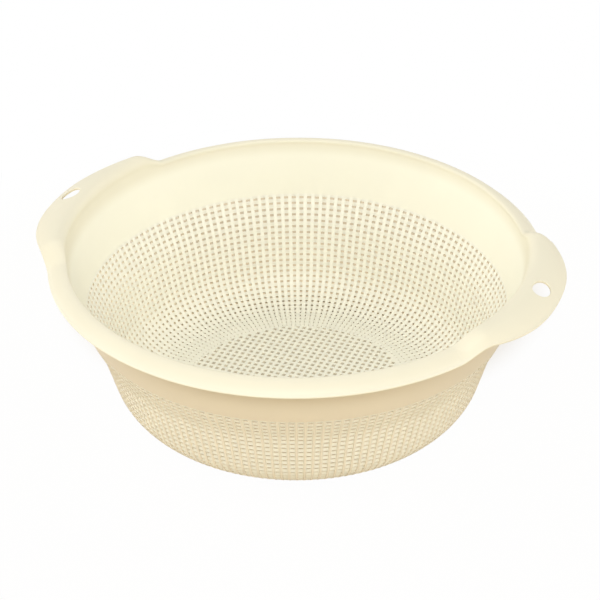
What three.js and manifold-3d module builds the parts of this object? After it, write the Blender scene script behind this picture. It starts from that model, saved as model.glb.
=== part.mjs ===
// A moulded plastic colander: a round bowl with a fine mesh wall and floor, a plain band above the mesh,
// a curled rim, and two raised ears with a hanging hole. Millimetres, +Z up, origin under the bowl's centre
// on the surface that it stands on. The ears lie on the X axis.
import * as THREE from 'three';
import { mergeGeometries, mergeVertices } from 'three/addons/utils/BufferGeometryUtils.js';
import Module from 'manifold-3d';

// Driving dimensions of the moulding, in millimetres and degrees
const WALL = 2.2;
const SEAM = 0.3;

// Foot ring under the floor
const FOOT_HEIGHT = 3;
const FOOT_WIDTH = 2.6;

// Floor: a square grid in the middle, and a flat ring around it with a plain border and one row of openings
const GRID_RADIUS = 65;
const GRID_PITCH = 12;
const GRID_OPENING = 8.2;
const FLOOR_RING_WIDTH = 13;
const FLOOR_BORDER = 3.4;

// Wall of the bowl, measured on its outer face: a round corner, a straight wall and a wider flare on top
const CORNER_RADIUS = 30;
const WALL_LEAN = 16;
const WALL_HEIGHT = 25;
const FLARE_LEAN = 26;
const FLARE_HEIGHT = 17;

// Openings of the mesh: columns around the bowl, rows up its wall and the bars left between them
const COLUMNS = 39;
const RIB_ANGLE = 3.2;
const ROW_BAR = 2.8;
const FLOOR_ROWS = 1;
const CORNER_ROWS = 3;
const WALL_ROWS = 3;
const FLARE_ROWS = 2;

// Plain band above the mesh
const BAND_LEAN = 15.5;
const BAND_HEIGHT = 29.5;

// Rim: it rises past the band, rounds over and reaches out and down
const RIM_RISE = 4.1;
const CREST_ROUND = 1.6;
const CREST_UPRIGHT = 0.8;
const LIP_THICKNESS = 1.6;
const LIP_REACH = 9.6;
const LIP_DROP = 6;

// Ears: what they add to the rim, and the oval hanging hole in each
const EAR_HALF_ANGLE = 30;
const EAR_END_ANGLE = 7.5;
const EAR_FULLNESS = 1.7;
const EAR_RISE = 6.9;
const EAR_UPRIGHT = 3.4;
const EAR_REACH = 11.7;
const EAR_DROP = 2;
const EAR_ROUND = 1.6;
const HOLE_ACROSS = 9.5;
const HOLE_ALONG = 13.8;
const HOLE_EDGE_DISTANCE = 10.2;

// Fineness of the round shapes
const ROUND_STEPS = 78;
const ARCH_STEPS = 4;
const LIP_STEP_ANGLE = 3;
const HOLE_STEPS = 28;

const rad = THREE.MathUtils.degToRad;
const smooth = (t) => THREE.MathUtils.smoothstep(t, 0, 1);

const wasm = await Module();
wasm.setup();

// Ivory polypropylene: a little brighter on the smooth rim than in the mesh
function plastic(colour, roughness) {
  return new THREE.MeshStandardMaterial({ color: colour, roughness, metalness: 0 });
}

function named(name, geometry, material) {
  const mesh = new THREE.Mesh(geometry, material);
  mesh.name = name;
  return mesh;
}

function indexed(positions, triangles) {
  const geometry = new THREE.BufferGeometry();
  geometry.setAttribute('position', new THREE.Float32BufferAttribute(positions, 3));
  geometry.setIndex(triangles);
  geometry.computeVertexNormals();
  return geometry;
}

// Closed geometry as a solid that can be cut, and back again
function solid(geometry) {
  const bare = geometry.clone();
  bare.deleteAttribute('normal');
  bare.deleteAttribute('uv');
  const merged = mergeVertices(bare);
  const vertProperties = new Float32Array(merged.attributes.position.array);
  const triVerts = new Uint32Array(merged.index.array);
  return new wasm.Manifold(new wasm.Mesh({ numProp: 3, vertProperties, triVerts }));
}

function fromSolid(body) {
  const mesh = body.getMesh();
  return indexed(Array.from(mesh.vertProperties), Array.from(mesh.triVerts));
}

// A ring of revolution from a closed outline of (radius, height) points
function ring(outline) {
  const points = [...outline, outline[0]].map(([r, z]) => new THREE.Vector2(r, z));
  const geometry = new THREE.LatheGeometry(points, ROUND_STEPS);
  geometry.rotateX(Math.PI / 2);
  return geometry;
}

// Perforated ring. Each line is a circle on the wall with its outer and inner point; the openings lie
// between the second and third lines, the fourth and fifth, and so on, with one rib beside each opening.
function perforatedRing(lines) {
  const step = 360 / COLUMNS;
  const angles = [];
  for (let column = 0; column < COLUMNS; column += 1) {
    angles.push(rad(column * step - (step - RIB_ANGLE) / 2));
    angles.push(rad(column * step + (step - RIB_ANGLE) / 2));
  }
  const positions = [];
  for (const line of lines) {
    for (const angle of angles) {
      for (const [r, z] of [line.outer, line.inner]) {
        positions.push(r * Math.cos(angle), r * Math.sin(angle), z);
      }
    }
  }
  const at = (row, place, side) => (row * angles.length + (place % angles.length)) * 2 + side;
  const triangles = [];
  const quad = (a, b, c, d) => triangles.push(a, b, c, a, c, d);
  // A strip of wall thickness along one edge, from place to place, with its face on the left
  const edge = (rowA, placeA, rowB, placeB) => {
    quad(at(rowA, placeA, 0), at(rowA, placeA, 1), at(rowB, placeB, 1), at(rowB, placeB, 0));
  };
  const last = lines.length - 1;
  for (let place = 0; place < angles.length; place += 1) {
    for (let row = 0; row < last; row += 1) {
      if (row % 2 === 1 && place % 2 === 0) {
        edge(row + 1, place, row + 1, place + 1);
        edge(row, place + 1, row, place);
        edge(row, place, row + 1, place);
        edge(row + 1, place + 1, row, place + 1);
      } else {
        quad(at(row, place, 0), at(row, place + 1, 0), at(row + 1, place + 1, 0), at(row + 1, place, 0));
        quad(at(row, place, 1), at(row + 1, place, 1), at(row + 1, place + 1, 1), at(row, place + 1, 1));
      }
    }
    edge(0, place, 0, place + 1);
    edge(last, place + 1, last, place);
  }
  return indexed(positions, triangles);
}

// Lengths along a stretch of wall at which its openings start and end, between the stretch's own ends
function openingEnds(length, rows, firstBar, lastBar) {
  const pitch = (length - firstBar - lastBar + ROW_BAR) / rows;
  const ends = [];
  for (let row = 0; row < rows; row += 1) {
    ends.push(firstBar + row * pitch);
    ends.push(firstBar + row * pitch + pitch - ROW_BAR);
  }
  return ends;
}

// A point on a straight stretch that leans outward, with the inner face square to it
function leaning([r, z], lean, length) {
  const outer = [r + length * Math.sin(rad(lean)), z + length * Math.cos(rad(lean))];
  const inner = [outer[0] - WALL * Math.cos(rad(lean)), outer[1] + WALL * Math.sin(rad(lean))];
  return { outer, inner };
}

// Stations of the outer face, from the floor to the rim
const floorZ = FOOT_HEIGHT;
const floorRadius = GRID_RADIUS + FLOOR_RING_WIDTH;
const cornerTop = [
  floorRadius + CORNER_RADIUS * Math.cos(rad(WALL_LEAN)),
  floorZ + CORNER_RADIUS * (1 - Math.sin(rad(WALL_LEAN))),
];
const wallTop = [cornerTop[0] + WALL_HEIGHT * Math.tan(rad(WALL_LEAN)), cornerTop[1] + WALL_HEIGHT];
const flareTop = [wallTop[0] + FLARE_HEIGHT * Math.tan(rad(FLARE_LEAN)), wallTop[1] + FLARE_HEIGHT];
const bandTopZ = flareTop[1] + BAND_HEIGHT;
const rimZ = bandTopZ + RIM_RISE;

const bandOuter = (z) => flareTop[0] + (z - flareTop[1]) * Math.tan(rad(BAND_LEAN));
const wallAcross = WALL / Math.cos(rad(BAND_LEAN));
const bandInner = (z) => bandOuter(z) - wallAcross;

// The foot ring stands under the plain border of the floor
function footRing() {
  const middle = GRID_RADIUS + FLOOR_BORDER / 2;
  const inner = middle - FOOT_WIDTH / 2;
  const outer = middle + FOOT_WIDTH / 2;
  const top = floorZ - SEAM;
  return ring([[inner, 0], [outer, 0], [outer, top], [inner, top]]);
}

function floorGrid() {
  const middleZ = floorZ + WALL / 2;
  const plate = new THREE.CylinderGeometry(GRID_RADIUS, GRID_RADIUS, WALL, ROUND_STEPS);
  plate.rotateX(Math.PI / 2);
  plate.translate(0, 0, middleZ);
  const reach = Math.floor(GRID_RADIUS / GRID_PITCH);
  const corner = Math.hypot(GRID_OPENING, GRID_OPENING) / 2;
  const openings = [];
  for (let i = -reach; i <= reach; i += 1) {
    for (let j = -reach; j <= reach; j += 1) {
      const x = i * GRID_PITCH;
      const y = j * GRID_PITCH;
      if (Math.hypot(x, y) + corner < GRID_RADIUS - ROW_BAR) {
        const opening = new THREE.BoxGeometry(GRID_OPENING, GRID_OPENING, 2 * WALL);
        openings.push(opening.translate(x, y, middleZ));
      }
    }
  }
  return fromSolid(solid(plate).subtract(solid(mergeGeometries(openings))));
}

function floorRing() {
  const start = GRID_RADIUS + SEAM;
  const length = floorRadius - start;
  const ends = openingEnds(length, FLOOR_ROWS, FLOOR_BORDER, ROW_BAR / 2);
  const lines = [0, ...ends, length].map((along) => ({
    outer: [start + along, floorZ],
    inner: [start + along, floorZ + WALL],
  }));
  return perforatedRing(lines);
}

function cornerMesh() {
  const centreZ = floorZ + CORNER_RADIUS;
  const turn = rad(90 - WALL_LEAN);
  const length = CORNER_RADIUS * turn;
  const ends = openingEnds(length, CORNER_ROWS, ROW_BAR / 2 + SEAM, ROW_BAR / 2);
  const lines = [SEAM, ...ends, length].map((along) => {
    const angle = along / CORNER_RADIUS - Math.PI / 2;
    const point = (radius) => [floorRadius + radius * Math.cos(angle), centreZ + radius * Math.sin(angle)];
    return { outer: point(CORNER_RADIUS), inner: point(CORNER_RADIUS - WALL) };
  });
  return perforatedRing(lines);
}

function wallMesh() {
  const wallLength = WALL_HEIGHT / Math.cos(rad(WALL_LEAN));
  const flareLength = FLARE_HEIGHT / Math.cos(rad(FLARE_LEAN));
  const wallEnds = openingEnds(wallLength, WALL_ROWS, ROW_BAR / 2 + SEAM, ROW_BAR / 2);
  const flareEnds = openingEnds(flareLength, FLARE_ROWS, ROW_BAR / 2, ROW_BAR);
  const lines = [SEAM, ...wallEnds].map((along) => leaning(cornerTop, WALL_LEAN, along));
  lines.push(...flareEnds.map((along) => leaning(wallTop, FLARE_LEAN, along)));
  const topInner = flareTop[0] - WALL / Math.cos(rad(FLARE_LEAN));
  lines.push({ outer: flareTop, inner: [topInner, flareTop[1]] });
  return perforatedRing(lines);
}

function plainBand() {
  const bottom = flareTop[1] + SEAM;
  return ring([
    [bandInner(bottom), bottom],
    [bandOuter(bottom), bottom],
    [bandOuter(bandTopZ), bandTopZ],
    [bandInner(bandTopZ), bandTopZ],
  ]);
}

// How far the ear has widened and risen at an angle from its middle, from 0 on the rim to 1
const earSpread = (angle) => smooth(1 - Math.abs(angle / EAR_HALF_ANGLE) ** EAR_FULLNESS);
const earLift = (angle) => smooth((EAR_HALF_ANGLE - Math.abs(angle)) / EAR_END_ANGLE);

// Crest of the rim at an angle from the ear's middle. The inside follows the band's lean up to the kink,
// stands upright above it and then rounds over to the crest, from which the lip reaches out to its edge.
function crestAt(angle) {
  const lift = earLift(angle);
  const z = rimZ + EAR_RISE * lift;
  const round = CREST_ROUND + EAR_ROUND * lift;
  const kinkZ = z - CREST_ROUND - CREST_UPRIGHT - EAR_UPRIGHT * lift;
  const wallR = bandInner(kinkZ);
  const edgeR = wallR + CREST_ROUND + LIP_REACH + EAR_REACH * earSpread(angle);
  return { z, round, shoulderZ: z - round, kinkZ, wallR, r: wallR + round, edgeR };
}

// Outline of the rim at an angle from the ear's middle: up the inside, over the crest, out along the
// arched top to the edge, and back underneath
function lipOutline(angle) {
  const crest = crestAt(angle);
  const reach = crest.edgeR - crest.r;
  const drop = LIP_DROP + EAR_DROP * earSpread(angle);
  const bottom = bandTopZ + SEAM;
  const top = [];
  const under = [];
  for (let i = 0; i <= ARCH_STEPS; i += 1) {
    const share = i / ARCH_STEPS;
    const r = crest.r + reach * share;
    const z = crest.z - drop * share ** 2;
    top.push([r, z]);
    if (i > 0) under.unshift([r, z - LIP_THICKNESS]);
  }
  const chamfer = crest.round * (1 - Math.SQRT1_2);
  const rootZ = crest.z - LIP_THICKNESS;
  return [
    [bandInner(bottom), bottom],
    [crest.wallR, crest.kinkZ],
    [crest.wallR, crest.shoulderZ],
    [crest.wallR + chamfer, crest.z - chamfer],
    ...top,
    ...under,
    [crest.wallR + wallAcross, rootZ],
    [crest.wallR + wallAcross, crest.kinkZ],
    [bandOuter(bottom), bottom],
  ];
}

// A stretch of rim between two angles from the ear's middle, closed at both ends
function lipStretch(startAngle, endAngle) {
  const steps = Math.round((endAngle - startAngle) / LIP_STEP_ANGLE);
  const positions = [];
  let points = 0;
  for (let i = 0; i <= steps; i += 1) {
    const angle = startAngle + ((endAngle - startAngle) * i) / steps;
    const outline = lipOutline(angle);
    points = outline.length;
    for (const [r, z] of outline) {
      positions.push(r * Math.cos(rad(angle)), r * Math.sin(rad(angle)), z);
    }
  }
  const triangles = [];
  for (let i = 0; i < steps; i += 1) {
    for (let k = 0; k < points; k += 1) {
      const next = (k + 1) % points;
      const a = i * points + k;
      const b = i * points + next;
      triangles.push(a, b, b + points, a, b + points, a + points);
    }
  }
  const cap = (outline) => THREE.ShapeUtils.triangulateShape(outline.map(([r, z]) => new THREE.Vector2(r, z)), []);
  const end = steps * points;
  for (const [a, b, c] of cap(lipOutline(startAngle))) triangles.push(a, b, c);
  for (const [a, b, c] of cap(lipOutline(endAngle))) triangles.push(end + a, end + c, end + b);
  return indexed(positions, triangles);
}

// The ear on +X, with its oval hanging hole straight down through it
function ear() {
  const seamAngle = THREE.MathUtils.radToDeg(SEAM / bandOuter(rimZ));
  const stretch = lipStretch(-EAR_HALF_ANGLE + seamAngle, EAR_HALF_ANGLE - seamAngle);
  const crest = crestAt(0);
  const drillLength = 2 * (EAR_RISE + LIP_DROP + EAR_DROP + LIP_THICKNESS);
  const drill = new THREE.CylinderGeometry(HOLE_ACROSS / 2, HOLE_ACROSS / 2, drillLength, HOLE_STEPS);
  drill.rotateX(Math.PI / 2);
  drill.scale(1, HOLE_ALONG / HOLE_ACROSS, 1);
  drill.translate(crest.edgeR - HOLE_EDGE_DISTANCE, 0, crest.z);
  return fromSolid(solid(stretch).subtract(solid(drill)));
}

const bowl = new THREE.Group();
bowl.add(named('foot_ring', footRing(), plastic(0xf3e8cb, 0.5)));
bowl.add(named('floor_grid', floorGrid(), plastic(0xf4ead0, 0.5)));
bowl.add(named('floor_ring', floorRing(), plastic(0xf4ead0, 0.5)));
bowl.add(named('corner_mesh', cornerMesh(), plastic(0xf2e6c6, 0.5)));
bowl.add(named('wall_mesh', wallMesh(), plastic(0xf2e6c6, 0.5)));
bowl.add(named('plain_band', plainBand(), plastic(0xf7efd6, 0.42)));

// The second ear and the second stretch of rim are the first ones turned half round
const rim = new THREE.Group();
for (const [earName, rimName, turn] of [['ear_right', 'rim_back', 0], ['ear_left', 'rim_front', Math.PI]]) {
  const half = new THREE.Group();
  half.rotation.z = turn;
  half.add(named(earName, ear(), plastic(0xf9f3dc, 0.4)));
  half.add(named(rimName, lipStretch(EAR_HALF_ANGLE, 180 - EAR_HALF_ANGLE), plastic(0xf9f3dc, 0.4)));
  rim.add(half);
}

const colander = new THREE.Group();
colander.add(bowl, rim);

export default colander;
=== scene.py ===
"""Looks of a moulded ivory colander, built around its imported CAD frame.

The CAD solids have few, large openings. Here each of them is replaced by the moulding as it is: ribs on the
outside, finer rings on the inside, a square lattice in the floor, and a smooth band, rim and ears.
Sizes are in millimetres and degrees, and become metres where a mesh is made. The studio's are in metres.
"""

import math

import bpy
import numpy as np
from mathutils import Euler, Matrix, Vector
from mathutils.geometry import delaunay_2d_cdt


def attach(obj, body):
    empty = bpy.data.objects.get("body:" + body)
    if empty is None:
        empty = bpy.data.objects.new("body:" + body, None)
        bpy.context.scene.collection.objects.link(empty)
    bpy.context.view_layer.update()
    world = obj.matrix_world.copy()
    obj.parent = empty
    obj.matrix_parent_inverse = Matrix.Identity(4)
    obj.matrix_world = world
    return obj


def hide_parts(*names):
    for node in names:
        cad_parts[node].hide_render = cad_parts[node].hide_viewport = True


MM = 0.001
BODY = "root"

# Form of the bowl's outer face, from the floor's lattice to the rim
WALL = 2.2
FLOOR_Z = 3.0
LATTICE_RADIUS = 65.0
FLOOR_RING_WIDTH = 13.0
CORNER_RADIUS = 30.0
WALL_LEAN = 16.0
WALL_HEIGHT = 25.0
FLARE_LEAN = 26.0
FLARE_HEIGHT = 17.0
BAND_LEAN = 15.5
BAND_HEIGHT = 29.5
KINK_SOFTNESS = 5.0

# Fine mesh of the wall: columns around the bowl, rows from under the band to the floor's lattice
COLUMNS = 156
ROWS = 27
ROW_PITCH = 3.58
TOP_ROW_DROP = 2.35
HOLE_HEIGHT = 1.35
HOLE_LEAST_HEIGHT = 0.6
HOLE_FULL_WIDTH = 1.6
HOLE_FLARE = 0.3
RUNG_EDGE_ROUND = 0.15
RUNG_EDGE_DEPTH = 0.28
RUNG_LOWER_DEPTH = 0.12
RUNG_UPPER_DEPTH = 1.0
RUNG_TOP_DEPTH = 0.42
RUNG_TOP_ROWS = 8
RIB_FACE_WIDTH = 1.05
RIB_FOOT_WIDTH = 1.40
RIB_ROOT_WIDTH = 2.2
CHANNEL_END_ROUND = 0.8
CHANNEL_END_TURNS = (0.0, 0.35, 0.7, 0.92, 1.0)
FLOOR_RING_ROWS = 4
CORNER_ROWS = 11

# Square lattice of the floor
LATTICE_PITCH = 3.98
LATTICE_HOLE_TOP = 2.1
LATTICE_HOLE_BOTTOM = 1.9
LATTICE_BORDER = 0.5
LATTICE_LEAST_SHARE = 0.35
LATTICE_EDGE_STEPS = 312

# Foot ring under the floor's plain border
FOOT_MIDDLE = 66.7
FOOT_WIDTH = 2.6
FOOT_ROUND = 0.6

# Rim and ears
RIM_RISE = 4.1
CREST_ROUND = 1.6
CREST_UPRIGHT = 0.8
LIP_THICKNESS = 1.6
LIP_REACH = 9.6
LIP_DROP = 6.0
ROOT_ROUND = 1.2
ROOT_GAP = 0.1
EAR_HALF_ANGLE = 30.0
EAR_END_ANGLE = 7.5
EAR_FULLNESS = 1.7
EAR_RISE = 6.9
EAR_UPRIGHT = 3.4
EAR_REACH = 11.7
EAR_DROP = 2.0
EAR_ROUND = 3.4
HOLE_ACROSS = 9.5
HOLE_ALONG = 13.8
HOLE_EDGE_DISTANCE = 10.2
HOLE_EDGE_ROUND = 0.45

# Fineness of the smooth pieces
RIM_STEP_ANGLE = 1.0
EAR_STEP_ANGLE = 0.6
ARCH_STEPS = 14
BAND_STEPS = 360
BAND_SECTION_POINTS = 16
FOOT_TURN_STEP = 15
HALF_AND_WHOLE = (0.5, 1.0)
CREST_TURNS = (15.0, 30.0, 45.0, 60.0, 75.0)
LIP_EDGE_TURNS = (30.0, 60.0, 90.0, 120.0, 150.0)
QUARTER_TURNS = (30.0, 60.0, 90.0)
HOLE_PATCH_STEPS = 6
HOLE_PATCH_FROM = 1
HOLE_PATCH_TO = ARCH_STEPS - 2
HOLE_RINGS = 4
SHARP_ANGLE = 35.0
FLAT_TOLERANCE = 1e-6

# Camera at the photograph's place
CAMERA_AZIMUTH = 22.16
CAMERA_ELEVATION = 32.25
CAMERA_DISTANCE = 1150.7
CAMERA_AIM = (1.7, 1.1, 64.5)
CAMERA_ROLL = -0.28
CAMERA_LENS = 120.6
SENSOR_WIDTH = 36.0
PHOTO_WIDTH = 600
CAMERA_SHIFT = (-0.5 / PHOTO_WIDTH, 0.5 / PHOTO_WIDTH)
CLIP_START = 0.05
CLIP_END = 20.0

# Studio floor, in metres: white to the camera, except under the bowl and in a round area behind it, where
# its tan tone is a painted shadow over the real shadow
FLOOR_REACH = 4.0
FLOOR_ROUGHNESS = 0.9
FLOOR_TONE = (0.79, 0.67, 0.475, 1)
FLOOR_LIFT = 0.98
PAINTED_SHADOW_BEHIND = 0.132
PAINTED_SHADOW_FROM = 0.104
PAINTED_SHADOW_TO = 0.164
UNDER_PAINTED_SHADE_FROM = 0.058
UNDER_PAINTED_SHADE_TO = 0.078
WHITE_FROM = 0.25
WHITE_TO = 0.34
WHITE = (1, 1, 1, 1)

# Light: soft lobes of the world, and lamps at a distance in metres
AMBIENT = 0.04
SOFT_LIGHTS = {
    "left": {"azimuth": -66.0, "elevation": 13.0, "level": 3.05, "focus": 5.0},
    "front_right": {"azimuth": 76.0, "elevation": 10.0, "level": 1.60, "focus": 5.0},
    "right": {"azimuth": 112.0, "elevation": 24.0, "level": 0.85, "focus": 4.0},
    "back": {"azimuth": 202.0, "elevation": 10.0, "level": 0.72, "focus": 1.0},
}
LAMP_DISTANCE = 4.0
LAMPS = {
    "key": {"azimuth": 20.0, "elevation": 45.0, "size": 1.3, "level": 0.48},
}

# Tones of the one moulding's plastic: a darker rim tone as painted shade where the top gets the most light,
# a paler mesh tone as painted light through the thin rungs, and a painted shade tone that hole walls, ribs
# and the band's outer face share in
RIM_PAINTED_SHADE_TONE = (0.88, 0.825, 0.64)
BAND_TONE = (0.975, 0.945, 0.78)
MESH_PAINTED_LIGHT_TONE = (0.98, 0.955, 0.815)
RIM_PAINTED_SHADE_FROM = 90.0
RIM_PAINTED_SHADE_TO = 99.0
GLOW_TONE = (0.98, 0.94, 0.80, 1)
THICK_GLOW = 0.08
THIN_GLOW = 0.26
PAINTED_SHADE_TONE = (0.64, 0.50, 0.325, 1)
HOLE_PAINTED_SHADE = 0.45
LATTICE_PAINTED_SHADE = 0.35
RIB_PAINTED_SHADE = 0.34
BAND_PAINTED_SHADE = 0.52

# Surface of the plastic
CLOUD_SCALE = 22.0
CLOUD_DETAIL = 3.0
CLOUD_FROM = 0.3
CLOUD_TO = 0.7
CLOUD_TONE = (0.975, 0.975, 0.97, 1)
GRAIN_SCALE = 1400.0
GRAIN_DETAIL = 2.0
GRAIN_DEPTH = 0.05
SMOOTH_GRAIN = 0.15
MESH_GRAIN = 0.10
LEAST_ROUGHNESS = 0.40
MOST_ROUGHNESS = 0.56
SPECULAR = 0.35


def smooth(t):
    t = np.clip(t, 0.0, 1.0)
    return t * t * (3.0 - 2.0 * t)


def tan(degrees):
    return math.tan(math.radians(degrees))


def cos(degrees):
    return math.cos(math.radians(degrees))


# Lengths along the outer face at which its stretches end
FLOOR_END = FLOOR_RING_WIDTH
CORNER_END = FLOOR_END + CORNER_RADIUS * math.radians(90.0 - WALL_LEAN)
WALL_END = CORNER_END + WALL_HEIGHT / cos(WALL_LEAN)
FLARE_END = WALL_END + FLARE_HEIGHT / cos(FLARE_LEAN)
BAND_END = FLARE_END + BAND_HEIGHT / cos(BAND_LEAN)
TOP_ROW = FLARE_END - TOP_ROW_DROP


class Profile:
    """The bowl's outer face as a path of (radius, height), with the inner face at a depth behind it."""

    STEP = 0.05

    def __init__(self):
        self.along = np.arange(0.0, BAND_END + 1.0, self.STEP)
        lean = np.radians(self.lean(self.along))
        dr = np.sin(lean) * self.STEP
        dz = np.cos(lean) * self.STEP
        self.r = LATTICE_RADIUS + np.concatenate([[0.0], np.cumsum((dr[1:] + dr[:-1]) / 2)])
        self.z = FLOOR_Z + np.concatenate([[0.0], np.cumsum((dz[1:] + dz[:-1]) / 2)])

    @staticmethod
    def lean(along):
        """How far the face leans out from upright, in degrees, with softened kinks."""
        turn = np.clip((along - FLOOR_END) / (CORNER_END - FLOOR_END), 0.0, 1.0)
        flare = smooth((along - WALL_END) / (2 * KINK_SOFTNESS) + 0.5)
        band = smooth((along - FLARE_END) / (2 * KINK_SOFTNESS) + 0.5)
        lean = 90.0 + (WALL_LEAN - 90.0) * turn
        return lean + (FLARE_LEAN - WALL_LEAN) * flare + (BAND_LEAN - FLARE_LEAN) * band

    def at(self, along, depth=0.0):
        """(radius, height) at a length along the outer face and a depth behind it."""
        lean = np.radians(self.lean(np.asarray(along, float)))
        r = np.interp(along, self.along, self.r) - depth * np.cos(lean)
        z = np.interp(along, self.along, self.z) + depth * np.sin(lean)
        return r, z


PROFILE = Profile()
BAND_TOP_R, BAND_TOP_Z = (float(v) for v in PROFILE.at(BAND_END))
RIM_Z = BAND_TOP_Z + RIM_RISE
WALL_ACROSS = WALL / cos(BAND_LEAN)


def band_outer(z):
    return BAND_TOP_R + (z - BAND_TOP_Z) * tan(BAND_LEAN)


def band_inner(z):
    return band_outer(z) - WALL_ACROSS


# Mesh building


def around(r, z, angle):
    """Points at radius, height and angle in radians, as rows of x, y, z."""
    r, z, angle = np.broadcast_arrays(r, z, angle)
    return np.stack([r * np.cos(angle), r * np.sin(angle), z], axis=-1)


def make_piece(name, node, points, faces, material, shares=None):
    """A mesh object from points in millimetres. It replaces the CAD node and rides on the only body.

    The shares are values of its faces that the material reads.
    """
    mesh = bpy.data.meshes.new(name)
    mesh.from_pydata([tuple(p) for p in np.asarray(points) * MM], [], faces)
    mesh.validate()
    for share, values in (shares or {}).items():
        mesh.attributes.new(share, "FLOAT", "FACE").data.foreach_set("value", np.asarray(values, np.float32))
    mesh.polygons.foreach_set("use_smooth", np.ones(len(mesh.polygons), bool))
    mesh.set_sharp_from_angle(angle=math.radians(SHARP_ANGLE))
    mesh.materials.append(material)
    piece = bpy.data.objects.new(name, mesh)
    bpy.context.scene.collection.objects.link(piece)
    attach(piece, BODY)
    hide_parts(node)
    return piece


# Fine mesh of the wall


def row_lengths(first, last):
    """Lengths along the face of the rows from first to last, counted down from the band, lowest first."""
    return [TOP_ROW - ROW_PITCH * row for row in range(last, first - 1, -1)]


def column_pitch(along):
    """Distance between the columns around the outer face."""
    return PROFILE.at(along)[0] * 2 * math.pi / COLUMNS


def hole_height(row):
    """Height of the holes in a row: lower where the columns run together towards the floor's middle."""
    share = (column_pitch(row) - RIB_ROOT_WIDTH) / HOLE_FULL_WIDTH
    return HOLE_LEAST_HEIGHT + (HOLE_HEIGHT - HOLE_LEAST_HEIGHT) * min(share, 1.0)


def upper_depth(row):
    """Depth of the upper edge of the rung below a row of holes: less in the rows next to the band."""
    share = (TOP_ROW - row) / (ROW_PITCH * RUNG_TOP_ROWS)
    return RUNG_TOP_DEPTH + (RUNG_UPPER_DEPTH - RUNG_TOP_DEPTH) * smooth(min(share, 1.0))


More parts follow.
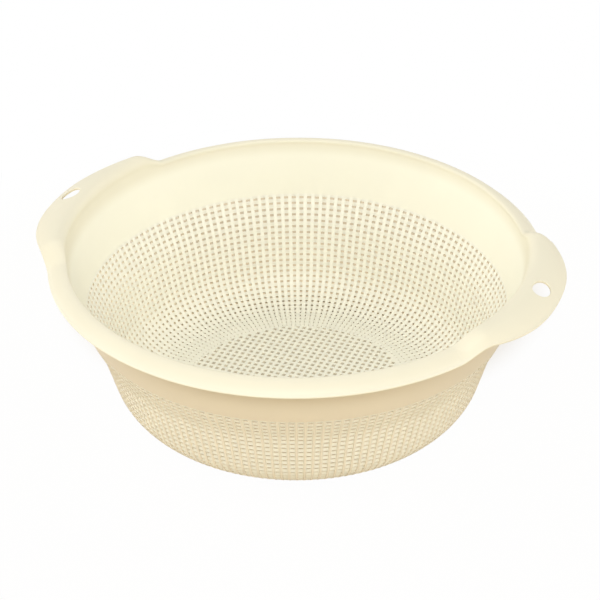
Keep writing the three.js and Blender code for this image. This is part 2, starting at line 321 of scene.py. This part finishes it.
def slotted_ring(name, node, rows, start, end, material, rounded_top=False):
    """A stretch of wall with its slots: ribs on the outside, and channels between them with rungs and holes.

    The rungs' outer faces are near upright: their lower edges stand out and their upper edges lie back, less
    so in the rows next to the band. Each column has eight points on a line around the bowl: two on its rib's
    outer face, two at the foot of the ribs on either side of its channel, two at the edges of its hole, and
    two on the inner face.
    """
    middle_depth = (RUNG_LOWER_DEPTH + RUNG_UPPER_DEPTH) / 2
    lines, depths, flares, holes = [start], [middle_depth], [0.0], []
    for row in rows:
        half = hole_height(row) / 2 + HOLE_FLARE
        holes.append(len(lines))
        lines += [row - half, row + half, row + half + RUNG_EDGE_ROUND]
        depths += [upper_depth(row), RUNG_EDGE_DEPTH, RUNG_LOWER_DEPTH]
        flares += [HOLE_FLARE, -HOLE_FLARE, 0.0]
    closing = [0.0] * len(lines)
    if rounded_top:
        for turn in CHANNEL_END_TURNS:
            lines.append(end - CHANNEL_END_ROUND * (1 - turn))
            closing.append(CHANNEL_END_ROUND * (1 - math.sqrt(1 - turn**2)))
    else:
        lines.append(end)
        closing.append(0.0)
    end_depth = (RUNG_LOWER_DEPTH + RUNG_TOP_DEPTH) / 2 if rounded_top else middle_depth
    depths += [end_depth] * (len(lines) - len(depths))
    flares += [0.0] * (len(lines) - len(flares))

    lines, depths, flares, closing = (np.array(v) for v in (lines, depths, flares, closing))
    pitch = column_pitch(lines)
    face = (RIB_FACE_WIDTH / 2 + closing) / pitch
    foot = (RIB_FOOT_WIDTH / 2 + closing) / pitch
    root = np.maximum(RIB_ROOT_WIDTH / 2 / pitch, foot)
    flat = np.zeros(len(lines))
    stations = [
        (-face, lines, flat),
        (face, lines, flat),
        (foot, lines, depths),
        (root, lines, depths),
        (1 - root, lines, depths),
        (1 - foot, lines, depths),
        (root, lines + flares, flat + WALL),
        (1 - root, lines + flares, flat + WALL),
    ]
    column = np.arange(COLUMNS)
    points = np.zeros((len(lines), COLUMNS, len(stations), 3))
    for k, (share, along, depth) in enumerate(stations):
        r, z = PROFILE.at(along, depth)
        angle = (column[None, :] + share[:, None] - 0.5) * 2 * math.pi / COLUMNS
        points[:, :, k] = around(r[:, None], z[:, None], angle)

    def at(line, shift, k):
        """Indices of point k on a line, for every column or its neighbour."""
        return (line * COLUMNS + (column + shift) % COLUMNS) * len(stations) + k

    rib_a, rib_b, foot_b, slot_c, slot_d, foot_a, in_e, in_f = range(len(stations))
    faces, thin, painted_shade = [], [], []

    # Here depth is the share of painted shade tone on the faces, not a depth.
    def add(quads, share=0.0, depth=0.0):
        quads = np.stack(quads, axis=1)
        faces.extend(quads.tolist())
        thin.extend([share] * len(quads))
        painted_shade.extend([depth] * len(quads))

    def strip(line, a, b, shift_a=0, shift_b=0, share=0.0, depth=0.0):
        up = line + 1
        quads = [at(line, shift_a, a), at(line, shift_b, b), at(up, shift_b, b), at(up, shift_a, a)]
        add(quads, share, depth)

    last = len(lines) - 1
    for line in range(last):
        # Painted shade on the ribs' outer faces, and below on the holes' walls.
        strip(line, rib_a, rib_b, depth=RIB_PAINTED_SHADE)
        strip(line, rib_b, foot_b, depth=RIB_PAINTED_SHADE)
        strip(line, foot_b, slot_c, share=1.0)
        strip(line, slot_d, foot_a, share=1.0)
        strip(line, foot_a, rib_a, 0, 1, depth=RIB_PAINTED_SHADE)
        strip(line, in_e, in_f, 1, 0)
        if line in holes:
            strip(line, slot_c, in_e, depth=HOLE_PAINTED_SHADE)
            strip(line, in_f, slot_d, depth=HOLE_PAINTED_SHADE)
            add([at(line, 0, k) for k in (slot_c, slot_d, in_f, in_e)], depth=HOLE_PAINTED_SHADE)
            add([at(line + 1, 0, k) for k in (slot_c, in_e, in_f, slot_d)], depth=HOLE_PAINTED_SHADE)
        else:
            strip(line, slot_c, slot_d, share=1.0)
            strip(line, in_f, in_e, share=1.0)
    for line, turn in ((0, -1), (last, 1)):
        rib = [at(line, -1, slot_d), at(line, -1, foot_a), at(line, 0, rib_a), at(line, 0, rib_b)]
        rib += [at(line, 0, foot_b), at(line, 0, slot_c), at(line, 0, in_e), at(line, -1, in_f)]
        add(rib[::turn])
        add([at(line, 0, k) for k in (slot_c, slot_d, in_f, in_e)][::turn])
    return make_piece(name, node, points.reshape(-1, 3), faces, material, {"thin": thin, "painted_shade": painted_shade})


# Floor lattice


def on_circle(a, b, radius):
    """Where the line between two points, one inside a circle about the origin and one outside, meets it."""
    way = b - a
    half = a.dot(way) / way.dot(way)
    rest = (a.dot(a) - radius**2) / way.dot(way)
    root = math.sqrt(half**2 - rest)
    return a + way * (root - half if a.length <= radius else -root - half)


def lattice_hole(x, y):
    """Corners of a square hole about a point, cut off at the lattice's border; none if little is left."""
    half = LATTICE_HOLE_TOP / 2
    limit = LATTICE_RADIUS - LATTICE_BORDER
    square = [Vector((x + half * u, y + half * v)) for u, v in ((-1, -1), (1, -1), (1, 1), (-1, 1))]
    shape = []
    for a, b in zip(square, square[1:] + square[:1]):
        if a.length <= limit:
            shape.append(a)
        if (a.length <= limit) != (b.length <= limit):
            shape.append(on_circle(a, b, limit))
    area = sum(a.x * b.y - a.y * b.x for a, b in zip(shape, shape[1:] + shape[:1])) / 2
    return shape if area > LATTICE_LEAST_SHARE * LATTICE_HOLE_TOP**2 else []


def floor_lattice(material):
    """A round plate with square holes that narrow downwards, with painted shade on the holes' walls."""
    reach = int(LATTICE_RADIUS / LATTICE_PITCH)
    spots = {}
    for i in range(-reach, reach + 1):
        for j in range(-reach, reach + 1):
            shape = lattice_hole(i * LATTICE_PITCH, j * LATTICE_PITCH)
            if shape:
                spots[i, j] = shape
    turns = np.arange(LATTICE_EDGE_STEPS) * 2 * math.pi / LATTICE_EDGE_STEPS
    edge = [Vector((LATTICE_RADIUS * math.cos(t), LATTICE_RADIUS * math.sin(t))) for t in turns]

    flat, lower = list(edge), list(edge)
    loops = [list(range(len(edge)))]
    for shape in spots.values():
        middle = sum(shape, Vector((0, 0))) / len(shape)
        loops.append(list(range(len(flat), len(flat) + len(shape))))
        flat += shape
        lower += [middle + (p - middle) * LATTICE_HOLE_BOTTOM / LATTICE_HOLE_TOP for p in shape]
    sides = [(a, b) for loop in loops for a, b in zip(loop, loop[1:] + loop[:1])]

    def in_hole(triangle):
        middle = sum((flat[v] for v in triangle), Vector((0, 0))) / 3
        i, j = round(middle.x / LATTICE_PITCH), round(middle.y / LATTICE_PITCH)
        off = max(abs(middle.x - i * LATTICE_PITCH), abs(middle.y - j * LATTICE_PITCH))
        inside = off < LATTICE_HOLE_TOP / 2 and middle.length < LATTICE_RADIUS - LATTICE_BORDER
        return (i, j) in spots and inside

    triangles = [t for t in delaunay_2d_cdt(flat, sides, [], 0, FLAT_TOLERANCE)[2] if not in_hole(t)]

    count = len(flat)
    top = [(x, y, FLOOR_Z + WALL) for x, y in flat]
    bottom = [(x, y, FLOOR_Z) for x, y in lower]
    faces = [list(t) for t in triangles]
    faces += [[v + count for v in reversed(t)] for t in triangles]
    painted_shade = [0.0] * len(faces)
    for loop in loops:
        turn = 1 if loop is loops[0] else -1
        for a, b in list(zip(loop, loop[1:] + loop[:1])):
            faces.append([a, a + count, b + count, b][::turn])
            painted_shade.append(0.0 if loop is loops[0] else LATTICE_PAINTED_SHADE)
    return make_piece("floor_lattice", "floor_grid", top + bottom, faces, material, {"painted_shade": painted_shade})


# Rings of revolution


def turned_ring(name, node, section, material, painted_shade=0.0):
    """A full ring from a closed section of (radius, height) points, clockwise, with its inner half first;
    its outer half gets a share of painted shade.
    """
    section = np.asarray(section)
    angle = np.arange(BAND_STEPS) * 2 * math.pi / BAND_STEPS
    points = around(section[None, :, 0], section[None, :, 1], angle[:, None])
    count = len(section)
    faces = []
    for i in range(BAND_STEPS):
        here, there = i * count, (i + 1) % BAND_STEPS * count
        for k in range(count):
            n = (k + 1) % count
            faces.append((here + k, here + n, there + n, there + k))
    shares = [painted_shade if k >= count // 2 else 0.0 for k in range(count)] * BAND_STEPS
    return make_piece(name, node, points.reshape(-1, 3), faces, material, {"painted_shade": shares})


def foot_section():
    inner = FOOT_MIDDLE - FOOT_WIDTH / 2
    outer = FOOT_MIDDLE + FOOT_WIDTH / 2
    section = [(inner, FOOT_ROUND), (inner, FLOOR_Z), (outer, FLOOR_Z), (outer, FOOT_ROUND)]
    for turn in range(FOOT_TURN_STEP, 91, FOOT_TURN_STEP):
        t = math.radians(turn)
        section.append((outer - FOOT_ROUND * (1 - math.cos(t)), FOOT_ROUND * (1 - math.sin(t))))
    for turn in range(0, 90, FOOT_TURN_STEP):
        t = math.radians(turn)
        section.append((inner + FOOT_ROUND * (1 - math.sin(t)), FOOT_ROUND * (1 - math.cos(t))))
    return section


def band_section():
    lengths = np.linspace(FLARE_END, BAND_END, BAND_SECTION_POINTS)
    inner = [PROFILE.at(along, WALL) for along in lengths]
    outer = [PROFILE.at(along) for along in lengths[::-1]]
    return [(float(r), float(z)) for r, z in inner + outer]


# Rim and ears


def ear_spread(angle):
    return smooth(1 - np.abs(angle / EAR_HALF_ANGLE) ** EAR_FULLNESS)


def ear_lift(angle):
    return smooth((EAR_HALF_ANGLE - np.abs(angle)) / EAR_END_ANGLE)


class Crest:
    """The rim's crest and lip at an angle, in degrees, from the ear's middle."""

    def __init__(self, angle):
        lift = ear_lift(angle)
        spread = ear_spread(angle)
        self.z = RIM_Z + EAR_RISE * lift
        self.round = CREST_ROUND + EAR_ROUND * lift
        self.shoulder_z = self.z - self.round
        self.kink_z = self.z - CREST_ROUND - CREST_UPRIGHT - EAR_UPRIGHT * lift
        self.wall_r = band_inner(self.kink_z)
        self.r = self.wall_r + self.round
        self.reach = LIP_REACH + EAR_REACH * spread - EAR_ROUND * lift
        self.drop = LIP_DROP + EAR_DROP * spread

    def top(self, share):
        """(radius, height) on the arched top of the lip, from the crest at 0 to the edge at 1."""
        return self.r + self.reach * share, self.z - self.drop * share**2


ARCH_SHARES = np.linspace(0.0, 1.0, ARCH_STEPS + 1)


def lip_section(angle):
    """Outline of the rim: up the inside, over the crest, along the lip, round its edge, and back below."""
    c = Crest(angle)
    foot_in = PROFILE.at(BAND_END, WALL)
    foot_out = PROFILE.at(BAND_END)
    section = [tuple(map(float, foot_in))]
    for share in HALF_AND_WHOLE:
        z = section[0][1] + (c.kink_z - section[0][1]) * share
        section.append((band_inner(z), z))
    for share in HALF_AND_WHOLE:
        section.append((c.wall_r, c.kink_z + (c.shoulder_z - c.kink_z) * share))
    for turn in CREST_TURNS:
        t = math.radians(turn)
        section.append((c.r - c.round * math.cos(t), c.shoulder_z + c.round * math.sin(t)))
    half = LIP_THICKNESS / 2
    stop = 1 - half / c.reach
    arch_start = len(section)
    section += [c.top(share * stop) for share in ARCH_SHARES]
    edge_r, edge_z = section[-1]
    for turn in LIP_EDGE_TURNS:
        t = math.radians(turn)
        section.append((edge_r + half * math.sin(t), edge_z - half + half * math.cos(t)))
    under_start = len(section)
    for share in ARCH_SHARES[::-1][:-1]:
        r, z = c.top(share * stop)
        section.append((r, z - LIP_THICKNESS))
    outer_r = c.wall_r + WALL_ACROSS
    root_z = section[-1][1]
    for turn in QUARTER_TURNS:
        t = math.radians(turn)
        section.append((outer_r + ROOT_ROUND * (1 - math.sin(t)), root_z - ROOT_ROUND * (1 - math.cos(t))))
    section.append((outer_r, min(c.kink_z, root_z - ROOT_ROUND - ROOT_GAP)))
    section.append(tuple(map(float, foot_out)))
    return section, arch_start, under_start


def lip_points(angles, turn):
    """Points of a stretch of rim, with its sections at angles from the ear's middle, turned as a whole."""
    sections = [lip_section(a)[0] for a in angles]
    points = [around(*np.array(s).T, math.radians(a + turn)) for s, a in zip(sections, angles)]
    return np.array(points)


def swept_faces(steps, count, skip=()):
    """Faces of a swept closed section, with both ends closed, leaving out the cells in skip."""
    faces = []
    for i in range(steps):
        for k in range(count):
            if (i, k) in skip:
                continue
            n = (k + 1) % count
            faces.append((i * count + k, i * count + n, (i + 1) * count + n, (i + 1) * count + k))
    faces.append(tuple(range(count - 1, -1, -1)))
    faces.append(tuple(range(steps * count, (steps + 1) * count)))
    return faces


def rim_stretch(name, node, turn, material):
    steps = round((180 - 2 * EAR_HALF_ANGLE) / RIM_STEP_ANGLE)
    angles = np.linspace(EAR_HALF_ANGLE, 180 - EAR_HALF_ANGLE, steps + 1)
    points = lip_points(angles, turn)
    faces = swept_faces(steps, points.shape[1])
    return make_piece(name, node, points.reshape(-1, 3), faces, material)


def ear(name, node, turn, material):
    """An ear, with rings of faces from a patch of its lip to the rounded edge of its hanging hole."""
    steps = round(2 * EAR_HALF_ANGLE / EAR_STEP_ANGLE)
    angles = np.linspace(-EAR_HALF_ANGLE, EAR_HALF_ANGLE, steps + 1)
    points = lip_points(angles, 0.0)
    count = points.shape[1]
    arch_start, under_start = lip_section(0.0)[1:]
    hole_r = Crest(0.0).r + Crest(0.0).reach - HOLE_EDGE_DISTANCE
    half_x, half_y = HOLE_ACROSS / 2, HOLE_ALONG / 2
    patch_i = (steps // 2 - HOLE_PATCH_STEPS, steps // 2 + HOLE_PATCH_STEPS)
    patch_j = (HOLE_PATCH_FROM, HOLE_PATCH_TO)

    def lip_z(x, y, below):
        angle = math.degrees(math.atan2(y, x))
        c = Crest(angle)
        return c.z - c.drop * ((math.hypot(x, y) - c.r) / c.reach) ** 2 - below

    def oval(way, wider):
        """A point on the hole's outline, or on one that is wider all round."""
        return hole_r + (half_x + wider) * math.cos(way), (half_y + wider) * math.sin(way)

    def top_index(i, j):
        return i * count + arch_start + j

    def under_index(i, j):
        return i * count + under_start + (ARCH_STEPS - j)

    border = [(i, patch_j[0]) for i in range(patch_i[0], patch_i[1])]
    border += [(patch_i[1], j) for j in range(patch_j[0], patch_j[1])]
    border += [(i, patch_j[1]) for i in range(patch_i[1], patch_i[0], -1)]
    border += [(patch_i[0], j) for j in range(patch_j[1], patch_j[0], -1)]
    skip = set()
    for i in range(*patch_i):
        for j in range(*patch_j):
            skip.add((i, arch_start + j))
            skip.add((i, under_start + ARCH_STEPS - j - 1))
    faces = swept_faces(steps, count, skip)
    points = list(points.reshape(-1, 3))

    def hole_side(index, below, down):
        """Rings from the patch's border to the hole's wall; returns the indices of the last one."""
        before = [index(i, j) for i, j in border]
        starts = [points[v] for v in before]
        ways = [math.atan2(p[1] / half_y, (p[0] - hole_r) / half_x) for p in starts]
        targets = []
        for ring in range(1, HOLE_RINGS + 1):
            share = ring / HOLE_RINGS
            loop = []
            for p, way in zip(starts, ways):
                edge_x, edge_y = oval(way, HOLE_EDGE_ROUND)
                x = p[0] + (edge_x - p[0]) * share
                y = p[1] + (edge_y - p[1]) * share
                loop.append((x, y, lip_z(x, y, below)))
            targets.append(loop)
        for angle in QUARTER_TURNS:
            t = math.radians(angle)
            loop = []
            for way in ways:
                z = lip_z(*oval(way, HOLE_EDGE_ROUND), below)
                z += down * HOLE_EDGE_ROUND * (1 - math.cos(t))
                loop.append((*oval(way, HOLE_EDGE_ROUND * (1 - math.sin(t))), z))
            targets.append(loop)
        for loop in targets:
            after = list(range(len(points), len(points) + len(loop)))
            points.extend(np.array(p) for p in loop)
            for k in range(len(loop)):
                n = (k + 1) % len(loop)
                quad = (before[k], before[n], after[n], after[k])
                faces.append(quad if down > 0 else quad[::-1])
            before = after
        return before

    upper = hole_side(top_index, 0.0, -1)
    lower = hole_side(under_index, LIP_THICKNESS, 1)
    for k in range(len(upper)):
        n = (k + 1) % len(upper)
        faces.append((upper[n], upper[k], lower[k], lower[n]))
    points = np.array(points)
    t = math.radians(turn)
    spin = np.array([[math.cos(t), -math.sin(t), 0], [math.sin(t), math.cos(t), 0], [0, 0, 1]])
    return make_piece(name, node, points @ spin.T, faces, material)


# Materials


def ivory(name, low_tone, high_tone, grain):
    """Satin moulded plastic: soft cloudy tone, fine grain, light passing through where it is thin, and
    painted light and shade in its tones.
    """
    material = bpy.data.materials.new(name)
    material.use_nodes = True
    nodes, links = material.node_tree.nodes, material.node_tree.links
    shader = nodes["Principled BSDF"]
    output = nodes["Material Output"]
    coords = nodes.new("ShaderNodeTexCoord")

    # Painted shade: above a height the low tone turns to the high one, which darkens the rim of the smooth
    # pieces, where most light falls.
    height = nodes.new("ShaderNodeSeparateXYZ")
    links.new(coords.outputs["Object"], height.inputs["Vector"])
    rise = nodes.new("ShaderNodeMapRange")
    rise.interpolation_type = "SMOOTHSTEP"
    rise.inputs["From Min"].default_value = RIM_PAINTED_SHADE_FROM * MM
    rise.inputs["From Max"].default_value = RIM_PAINTED_SHADE_TO * MM
    links.new(height.outputs["Z"], rise.inputs["Value"])
    tone = nodes.new("ShaderNodeMix")
    tone.data_type = "RGBA"
    tone.inputs["A"].default_value = (*low_tone, 1)
    tone.inputs["B"].default_value = (*high_tone, 1)
    links.new(rise.outputs["Result"], tone.inputs["Factor"])
    cloud = nodes.new("ShaderNodeTexNoise")
    cloud.inputs["Scale"].default_value = CLOUD_SCALE
    cloud.inputs["Detail"].default_value = CLOUD_DETAIL
    links.new(coords.outputs["Object"], cloud.inputs["Vector"])
    shade = nodes.new("ShaderNodeValToRGB")
    shade.color_ramp.elements[0].position = CLOUD_FROM
    shade.color_ramp.elements[1].position = CLOUD_TO
    shade.color_ramp.elements[0].color = CLOUD_TONE
    shade.color_ramp.elements[1].color = WHITE
    links.new(cloud.outputs["Fac"], shade.inputs["Fac"])
    colour = nodes.new("ShaderNodeMix")
    colour.data_type = "RGBA"
    colour.blend_type = "MULTIPLY"
    colour.inputs["Factor"].default_value = 1.0
    links.new(tone.outputs["Result"], colour.inputs["A"])
    links.new(shade.outputs["Color"], colour.inputs["B"])
    # Painted shade: faces mix towards the painted shade tone by their share of it.
    painted_shade = nodes.new("ShaderNodeAttribute")
    painted_shade.attribute_name = "painted_shade"
    inside = nodes.new("ShaderNodeMix")
    inside.data_type = "RGBA"
    links.new(painted_shade.outputs["Fac"], inside.inputs["Factor"])
    links.new(colour.outputs["Result"], inside.inputs["A"])
    inside.inputs["B"].default_value = PAINTED_SHADE_TONE
    links.new(inside.outputs["Result"], shader.inputs["Base Color"])

    fine = nodes.new("ShaderNodeTexNoise")
    fine.inputs["Scale"].default_value = GRAIN_SCALE
    fine.inputs["Detail"].default_value = GRAIN_DETAIL
    links.new(coords.outputs["Object"], fine.inputs["Vector"])
    rough = nodes.new("ShaderNodeMapRange")
    rough.inputs["To Min"].default_value = LEAST_ROUGHNESS
    rough.inputs["To Max"].default_value = MOST_ROUGHNESS
    links.new(fine.outputs["Fac"], rough.inputs["Value"])
    links.new(rough.outputs["Result"], shader.inputs["Roughness"])
    bump = nodes.new("ShaderNodeBump")
    bump.inputs["Strength"].default_value = grain
    bump.inputs["Distance"].default_value = GRAIN_DEPTH * MM
    links.new(fine.outputs["Fac"], bump.inputs["Height"])
    links.new(bump.outputs["Normal"], shader.inputs["Normal"])
    shader.inputs["Specular IOR Level"].default_value = SPECULAR

    thin = nodes.new("ShaderNodeAttribute")
    thin.attribute_name = "thin"
    share = nodes.new("ShaderNodeMapRange")
    share.inputs["To Min"].default_value = THICK_GLOW
    share.inputs["To Max"].default_value = THIN_GLOW
    links.new(thin.outputs["Fac"], share.inputs["Value"])
    glow = nodes.new("ShaderNodeBsdfTranslucent")
    glow.inputs["Color"].default_value = GLOW_TONE
    mix = nodes.new("ShaderNodeMixShader")
    links.new(share.outputs["Result"], mix.inputs["Fac"])
    links.new(shader.outputs["BSDF"], mix.inputs[1])
    links.new(glow.outputs["BSDF"], mix.inputs[2])
    links.new(mix.outputs["Shader"], output.inputs["Surface"])
    return material


def far_from(nodes, links, coords, centre, near, far):
    """A smooth value from 0 nearer to a floor point than near, to 1 beyond far."""
    way = nodes.new("ShaderNodeVectorMath")
    way.operation = "DISTANCE"
    way.inputs[1].default_value = centre
    links.new(coords.outputs["Object"], way.inputs[0])
    share = nodes.new("ShaderNodeMapRange")
    share.interpolation_type = "SMOOTHSTEP"
    share.inputs["From Min"].default_value = near
    share.inputs["From Max"].default_value = far
    links.new(way.outputs["Value"], share.inputs["Value"])
    return share


def sees_background(nodes, links):
    """A value that is 1 for what the camera sees, also in a reflection or through something clear."""
    path = nodes.new("ShaderNodeLightPath")
    total = path.outputs["Is Camera Ray"]
    for kind in ("Is Glossy Ray", "Is Transmission Ray"):
        either = nodes.new("ShaderNodeMath")
        either.operation = "MAXIMUM"
        links.new(total, either.inputs[0])
        links.new(path.outputs[kind], either.inputs[1])
        total = either.outputs["Value"]
    return total


def floor_material():
    """Studio floor of one tone, with white over it for what the camera sees.

    The white is left out under the bowl and in a soft round area on the side away from the key lamp, so that
    the holes in the back wall do not show white. There the floor's tan tone is a painted shadow over the
    real one.
    """
    material = bpy.data.materials.new("studio_floor")
    material.use_nodes = True
    nodes, links = material.node_tree.nodes, material.node_tree.links
    shader = nodes["Principled BSDF"]
    shader.inputs["Base Color"].default_value = FLOOR_TONE
    shader.inputs["Roughness"].default_value = FLOOR_ROUGHNESS
    shader.inputs["Specular IOR Level"].default_value = 0.0
    coords = nodes.new("ShaderNodeTexCoord")
    seen = sees_background(nodes, links)

    white = nodes.new("ShaderNodeEmission")
    white.inputs["Color"].default_value = WHITE
    white.inputs["Strength"].default_value = 1.0
    lift = far_from(nodes, links, coords, (0, 0, 0), WHITE_FROM, WHITE_TO)
    lift.inputs["To Min"].default_value = FLOOR_LIFT
    # Painted shadow: in a round area behind the bowl and under it the floor keeps its tan tone instead of
    # white.
    behind = direction(LAMPS["key"]["azimuth"] + 180, 0.0) * PAINTED_SHADOW_BEHIND
    shadow = far_from(nodes, links, coords, behind, PAINTED_SHADOW_FROM, PAINTED_SHADOW_TO)
    under = far_from(nodes, links, coords, (0, 0, 0), UNDER_PAINTED_SHADE_FROM, UNDER_PAINTED_SHADE_TO)
    clear = nodes.new("ShaderNodeMath")
    clear.operation = "MINIMUM"
    links.new(shadow.outputs["Result"], clear.inputs[0])
    links.new(under.outputs["Result"], clear.inputs[1])
    lit = nodes.new("ShaderNodeMath")
    lit.operation = "MULTIPLY"
    links.new(clear.outputs["Value"], lit.inputs[0])
    links.new(lift.outputs["Result"], lit.inputs[1])
    part = nodes.new("ShaderNodeMath")
    part.operation = "MULTIPLY"
    links.new(seen, part.inputs[0])
    links.new(lit.outputs["Value"], part.inputs[1])
    mix = nodes.new("ShaderNodeMixShader")
    links.new(part.outputs["Value"], mix.inputs["Fac"])
    links.new(shader.outputs["BSDF"], mix.inputs[1])
    links.new(white.outputs["Emission"], mix.inputs[2])
    links.new(mix.outputs["Shader"], nodes["Material Output"].inputs["Surface"])
    return material


# Studio


def studio_floor():
    mesh = bpy.data.meshes.new("studio_floor")
    corners = [(x * FLOOR_REACH, y * FLOOR_REACH, 0) for x, y in ((-1, -1), (1, -1), (1, 1), (-1, 1))]
    mesh.from_pydata(corners, [], [(0, 1, 2, 3)])
    mesh.materials.append(floor_material())
    floor = bpy.data.objects.new("studio_floor", mesh)
    bpy.context.scene.collection.objects.link(floor)


def direction(azimuth, elevation):
    """Unit vector from the bowl towards a place; azimuth 0 is in front of it, 90 at its right."""
    a, e = math.radians(azimuth), math.radians(elevation)
    return Vector((math.sin(a) * math.cos(e), -math.cos(a) * math.cos(e), math.sin(e)))


def soft_lamp(name, azimuth, elevation, size, level):
    """A round soft lamp aimed at the bowl. A white surface that faces it shows its level."""
    lamp = bpy.data.lights.new(name, "AREA")
    lamp.shape = "DISK"
    lamp.size = size
    lamp.energy = level * math.pi**2 * LAMP_DISTANCE**2
    obj = bpy.data.objects.new(name, lamp)
    way = direction(azimuth, elevation)
    obj.location = way * LAMP_DISTANCE + Vector((0, 0, BAND_TOP_Z * MM / 2))
    obj.rotation_euler = (-way).to_track_quat("-Z", "Y").to_euler()
    bpy.context.scene.collection.objects.link(obj)


def world_light():
    """Soft light all round, stronger from some sides; white where the camera sees it."""
    world = bpy.data.worlds.new("studio_world")
    bpy.context.scene.world = world
    world.use_nodes = True
    nodes, links = world.node_tree.nodes, world.node_tree.links
    background = nodes["Background"]
    background.inputs["Color"].default_value = WHITE
    coords = nodes.new("ShaderNodeTexCoord")
    total = nodes.new("ShaderNodeValue")
    total.outputs["Value"].default_value = AMBIENT
    for soft in SOFT_LIGHTS.values():
        facing = nodes.new("ShaderNodeVectorMath")
        facing.operation = "DOT_PRODUCT"
        facing.inputs[1].default_value = direction(soft["azimuth"], soft["elevation"])
        links.new(coords.outputs["Generated"], facing.inputs[0])
        share = nodes.new("ShaderNodeClamp")
        links.new(facing.outputs["Value"], share.inputs["Value"])
        lobe = nodes.new("ShaderNodeMath")
        lobe.operation = "POWER"
        lobe.inputs[1].default_value = soft["focus"]
        links.new(share.outputs["Result"], lobe.inputs[0])
        add = nodes.new("ShaderNodeMath")
        add.operation = "MULTIPLY_ADD"
        add.inputs[1].default_value = soft["level"]
        links.new(lobe.outputs["Value"], add.inputs[0])
        links.new(total.outputs["Value"], add.inputs[2])
        total = add
    seen = nodes.new("ShaderNodeMix")
    links.new(sees_background(nodes, links), seen.inputs["Factor"])
    links.new(total.outputs["Value"], seen.inputs["A"])
    seen.inputs["B"].default_value = 1.0
    links.new(seen.outputs["Result"], background.inputs["Strength"])


def photo_camera():
    camera = bpy.data.cameras.new("photo_camera")
    camera.lens = CAMERA_LENS
    camera.sensor_width = SENSOR_WIDTH
    camera.shift_x, camera.shift_y = CAMERA_SHIFT
    camera.clip_start = CLIP_START
    camera.clip_end = CLIP_END
    obj = bpy.data.objects.new("photo_camera", camera)
    back = direction(CAMERA_AZIMUTH, CAMERA_ELEVATION)
    obj.location = Vector(CAMERA_AIM) * MM + back * CAMERA_DISTANCE * MM
    look = (-back).to_track_quat("-Z", "Y")
    roll = Euler((0, 0, math.radians(CAMERA_ROLL))).to_quaternion()
    obj.rotation_mode = "QUATERNION"
    obj.rotation_quaternion = look @ roll
    bpy.context.scene.collection.objects.link(obj)
    bpy.context.scene.camera = obj


def build_colander():
    """All visible pieces. The stretches of fine mesh meet halfway between two rows."""
    smooth_ivory = ivory("ivory_smooth", BAND_TONE, RIM_PAINTED_SHADE_TONE, SMOOTH_GRAIN)
    mesh_ivory = ivory("ivory_mesh", MESH_PAINTED_LIGHT_TONE, BAND_TONE, MESH_GRAIN)
    corner_row = ROWS - FLOOR_RING_ROWS
    wall_row = corner_row - CORNER_ROWS
    floor_end = TOP_ROW - ROW_PITCH * (corner_row - 0.5)
    corner_end = TOP_ROW - ROW_PITCH * (wall_row - 0.5)
    floor_rows = row_lengths(corner_row, ROWS - 1)
    corner_rows = row_lengths(wall_row, corner_row - 1)
    wall_rows = row_lengths(0, wall_row - 1)
    turned_ring("foot_ring_turned", "foot_ring", foot_section(), smooth_ivory)
    floor_lattice(mesh_ivory)
    slotted_ring("floor_ring_slots", "floor_ring", floor_rows, 0.0, floor_end, mesh_ivory)
    slotted_ring("corner_slots", "corner_mesh", corner_rows, floor_end, corner_end, mesh_ivory)
    slotted_ring("wall_slots", "wall_mesh", wall_rows, corner_end, FLARE_END, mesh_ivory, True)
    turned_ring("band_smooth", "plain_band", band_section(), smooth_ivory, BAND_PAINTED_SHADE)
    ear("ear_right_smooth", "ear_right", 0.0, smooth_ivory)
    ear("ear_left_smooth", "ear_left", 180.0, smooth_ivory)
    rim_stretch("rim_back_smooth", "rim_back", 0.0, smooth_ivory)
    rim_stretch("rim_front_smooth", "rim_front", 180.0, smooth_ivory)


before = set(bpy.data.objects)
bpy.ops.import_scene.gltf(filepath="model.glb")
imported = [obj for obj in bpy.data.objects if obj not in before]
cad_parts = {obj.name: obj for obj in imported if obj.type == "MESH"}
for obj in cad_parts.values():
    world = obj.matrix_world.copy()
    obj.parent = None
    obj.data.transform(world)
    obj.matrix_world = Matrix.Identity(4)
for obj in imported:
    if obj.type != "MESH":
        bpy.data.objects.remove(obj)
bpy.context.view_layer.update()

scene = bpy.context.scene
scene.view_settings.view_transform = "Standard"
photo_camera()
studio_floor()
world_light()
for name, lamp in LAMPS.items():
    soft_lamp(name, **lamp)
build_colander()
